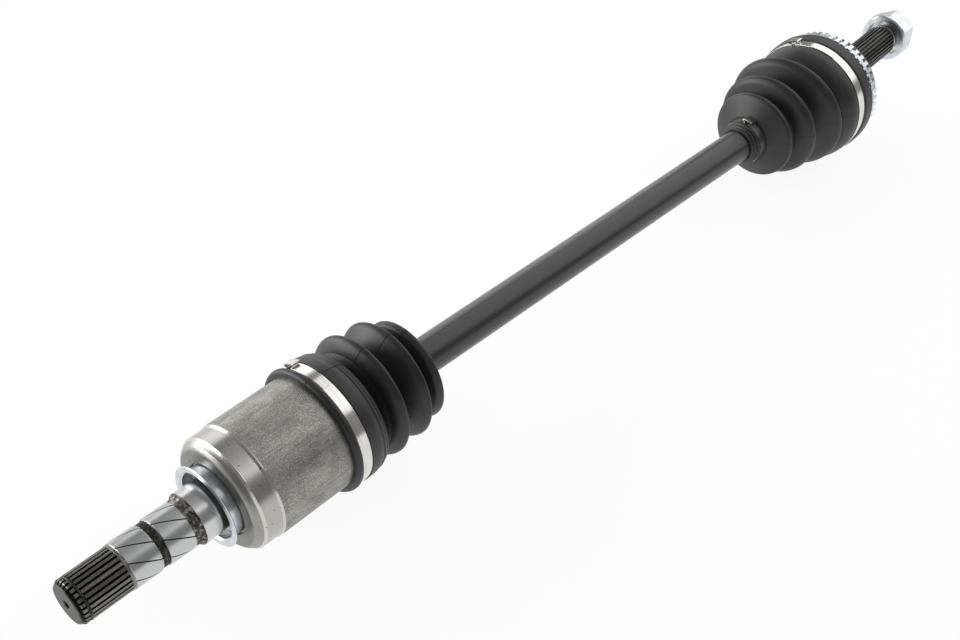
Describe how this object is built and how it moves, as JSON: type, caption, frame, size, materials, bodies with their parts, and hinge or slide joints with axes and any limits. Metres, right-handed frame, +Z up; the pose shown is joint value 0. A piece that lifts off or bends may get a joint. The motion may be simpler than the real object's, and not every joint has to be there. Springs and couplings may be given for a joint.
{
  "type": "cv axle",
  "caption": "Front drive axle with a plunging tripod joint at the gearbox end, a fixed ball joint at the wheel end, ribbed boots, band clamps, splined stubs and an axle nut.",
  "frame": {"origin": "middle of the gearbox stub's seal journal, on the stub's axis", "axes": "+X along the gearbox stub from the gearbox towards the wheel, +Z up, both joints bend about Z"},
  "size_m": [0.8831, 0.111, 0.1024],
  "materials": {
    "forged_steel": "forged and turned",
    "machined_steel": "ground and oiled",
    "bell_steel": "forged, dark",
    "bar_paint": "satin black",
    "boot_rubber": "matte moulded",
    "stainless_band": "bright rolled",
    "dark_band": "dull rolled",
    "zinc_plate": "zinc plated",
    "bearing_steel": "ground bright",
    "spring_steel": "blued"
  },
  "bodies": {
    "housing": {"inboard_housing": "forged_steel", "stub_circlip": "spring_steel", "dust_shield": "zinc_plate", "inboard_large_clamp": "stainless_band", "inboard_boot": "boot_rubber"},
    "ring_carrier_1": {"tilt_ring_1": "bearing_steel", "needles_1": "bearing_steel"},
    "ring_carrier_2": {"tilt_ring_2": "bearing_steel", "needles_2": "bearing_steel"},
    "ring_carrier_3": {"tilt_ring_3": "bearing_steel", "needles_3": "bearing_steel"},
    "roller_body_1": {"roller_1": "machined_steel", "needle_keepers_1": "spring_steel"},
    "roller_body_2": {"roller_2": "machined_steel", "needle_keepers_2": "spring_steel"},
    "roller_body_3": {"roller_3": "machined_steel", "needle_keepers_3": "spring_steel"},
    "shaft": {"axle_bar": "bar_paint", "tripod_spider": "machined_steel", "spider_snap_rings": "spring_steel", "inner_race": "machined_steel", "race_snap_ring": "spring_steel", "inboard_small_clamp": "stainless_band", "outboard_small_clamp": "dark_band"},
    "cage": {"ball_cage": "bearing_steel"},
    "bell": {"outboard_bell": "bell_steel", "sensor_ring": "zinc_plate", "axle_nut": "zinc_plate", "outboard_large_clamp": "stainless_band", "outboard_boot": "boot_rubber"},
    "ball_body_1": {"ball_1": "bearing_steel"},
    "ball_body_2": {"ball_2": "bearing_steel"},
    "ball_body_3": {"ball_3": "bearing_steel"},
    "ball_body_4": {"ball_4": "bearing_steel"},
    "ball_body_5": {"ball_5": "bearing_steel"},
    "ball_body_6": {"ball_6": "bearing_steel"}
  },
  "joints": [
    {"name": "plunge", "type": "slide", "parent": "housing", "child": "ring_carrier_1", "axis": [1, 0, 0], "range_m": [-0.012, 0.012], "deforming": ["inboard_boot"]},
    {"name": "inboard_bend", "type": "hinge", "parent": "ring_carrier_1", "child": "shaft", "pos_m": [0.0762, 0, 0], "axis": [0, 0, 1], "range_deg": [-16.5, 19.5], "deforming": ["inboard_boot"]},
    {"name": "ring_2_tilt", "type": "hinge", "parent": "shaft", "child": "ring_carrier_2", "pos_m": [0.07566, -0.02078, -0.012], "axis": [0, 0, 1], "range_deg": [-20, 17]},
    {"name": "ring_3_tilt", "type": "hinge", "parent": "shaft", "child": "ring_carrier_3", "pos_m": [0.07674, 0.02078, -0.012], "axis": [0, 0, 1], "range_deg": [-20, 17]},
    {"name": "roller_1_spin", "type": "hinge", "parent": "ring_carrier_1", "child": "roller_body_1", "pos_m": [0.0762, 0, 0.024], "axis": [0, 0, 1], "range_deg": [-60, 60]},
    {"name": "roller_2_spin", "type": "hinge", "parent": "ring_carrier_2", "child": "roller_body_2", "pos_m": [0.07566, -0.02078, -0.012], "axis": [0, -0.866, -0.5], "range_deg": [-60, 60]},
    {"name": "roller_3_spin", "type": "hinge", "parent": "ring_carrier_3", "child": "roller_body_3", "pos_m": [0.07674, 0.02078, -0.012], "axis": [0, 0.866, -0.5], "range_deg": [-60, 60]},
    {"name": "outboard_bend", "type": "hinge", "parent": "shaft", "child": "bell", "pos_m": [0.648, -0.01497, 0], "axis": [0, 0, 1], "range_deg": [-49, 41], "deforming": ["outboard_boot"]},
    {"name": "cage_tilt", "type": "hinge", "parent": "shaft", "child": "cage", "pos_m": [0.648, -0.01497, 0], "axis": [0, 0, 1], "range_deg": [-25, 21]},
    {"name": "ball_1_roll", "type": "hinge", "parent": "shaft", "child": "ball_body_1", "pos_m": [0.652, -0.01508, 0], "axis": [0, 0, 1], "range_deg": [-26, 22]},
    {"name": "ball_2_roll", "type": "hinge", "parent": "shaft", "child": "ball_body_2", "pos_m": [0.652, -0.01508, 0], "axis": [-0.0227, -0.8657, 0.5], "range_deg": [-14, 12]},
    {"name": "ball_3_roll", "type": "hinge", "parent": "shaft", "child": "ball_body_3", "pos_m": [0.652, -0.01508, 0], "axis": [-0.0227, -0.8657, -0.5], "range_deg": [-12, 14]},
    {"name": "ball_4_roll", "type": "hinge", "parent": "shaft", "child": "ball_body_4", "pos_m": [0.652, -0.01508, 0], "axis": [0, 0, -1], "range_deg": [-22, 26]},
    {"name": "ball_5_roll", "type": "hinge", "parent": "shaft", "child": "ball_body_5", "pos_m": [0.652, -0.01508, 0], "axis": [0.0227, 0.8657, -0.5], "range_deg": [-12, 14]},
    {"name": "ball_6_roll", "type": "hinge", "parent": "shaft", "child": "ball_body_6", "pos_m": [0.652, -0.01508, 0], "axis": [0.0227, 0.8657, 0.5], "range_deg": [-14, 12]}
  ],
  "couplings": [
    {"joint": "ring_2_tilt", "follows": "inboard_bend", "ratio": -1},
    {"joint": "ring_3_tilt", "follows": "inboard_bend", "ratio": -1},
    {"joint": "roller_1_spin", "follows": "plunge", "rad_per_m": -58.824},
    {"joint": "roller_2_spin", "follows": "plunge", "rad_per_m": -58.824},
    {"joint": "roller_3_spin", "follows": "plunge", "rad_per_m": -58.824},
    {"joint": "cage_tilt", "follows": "outboard_bend", "ratio": 0.5},
    {"joint": "ball_1_roll", "follows": "outboard_bend", "ratio": 0.5},
    {"joint": "ball_2_roll", "follows": "outboard_bend", "ratio": 0.25844},
    {"joint": "ball_3_roll", "follows": "outboard_bend", "ratio": -0.25844},
    {"joint": "ball_4_roll", "follows": "outboard_bend", "ratio": -0.5},
    {"joint": "ball_5_roll", "follows": "outboard_bend", "ratio": -0.25844},
    {"joint": "ball_6_roll", "follows": "outboard_bend", "ratio": 0.25844}
  ]
}
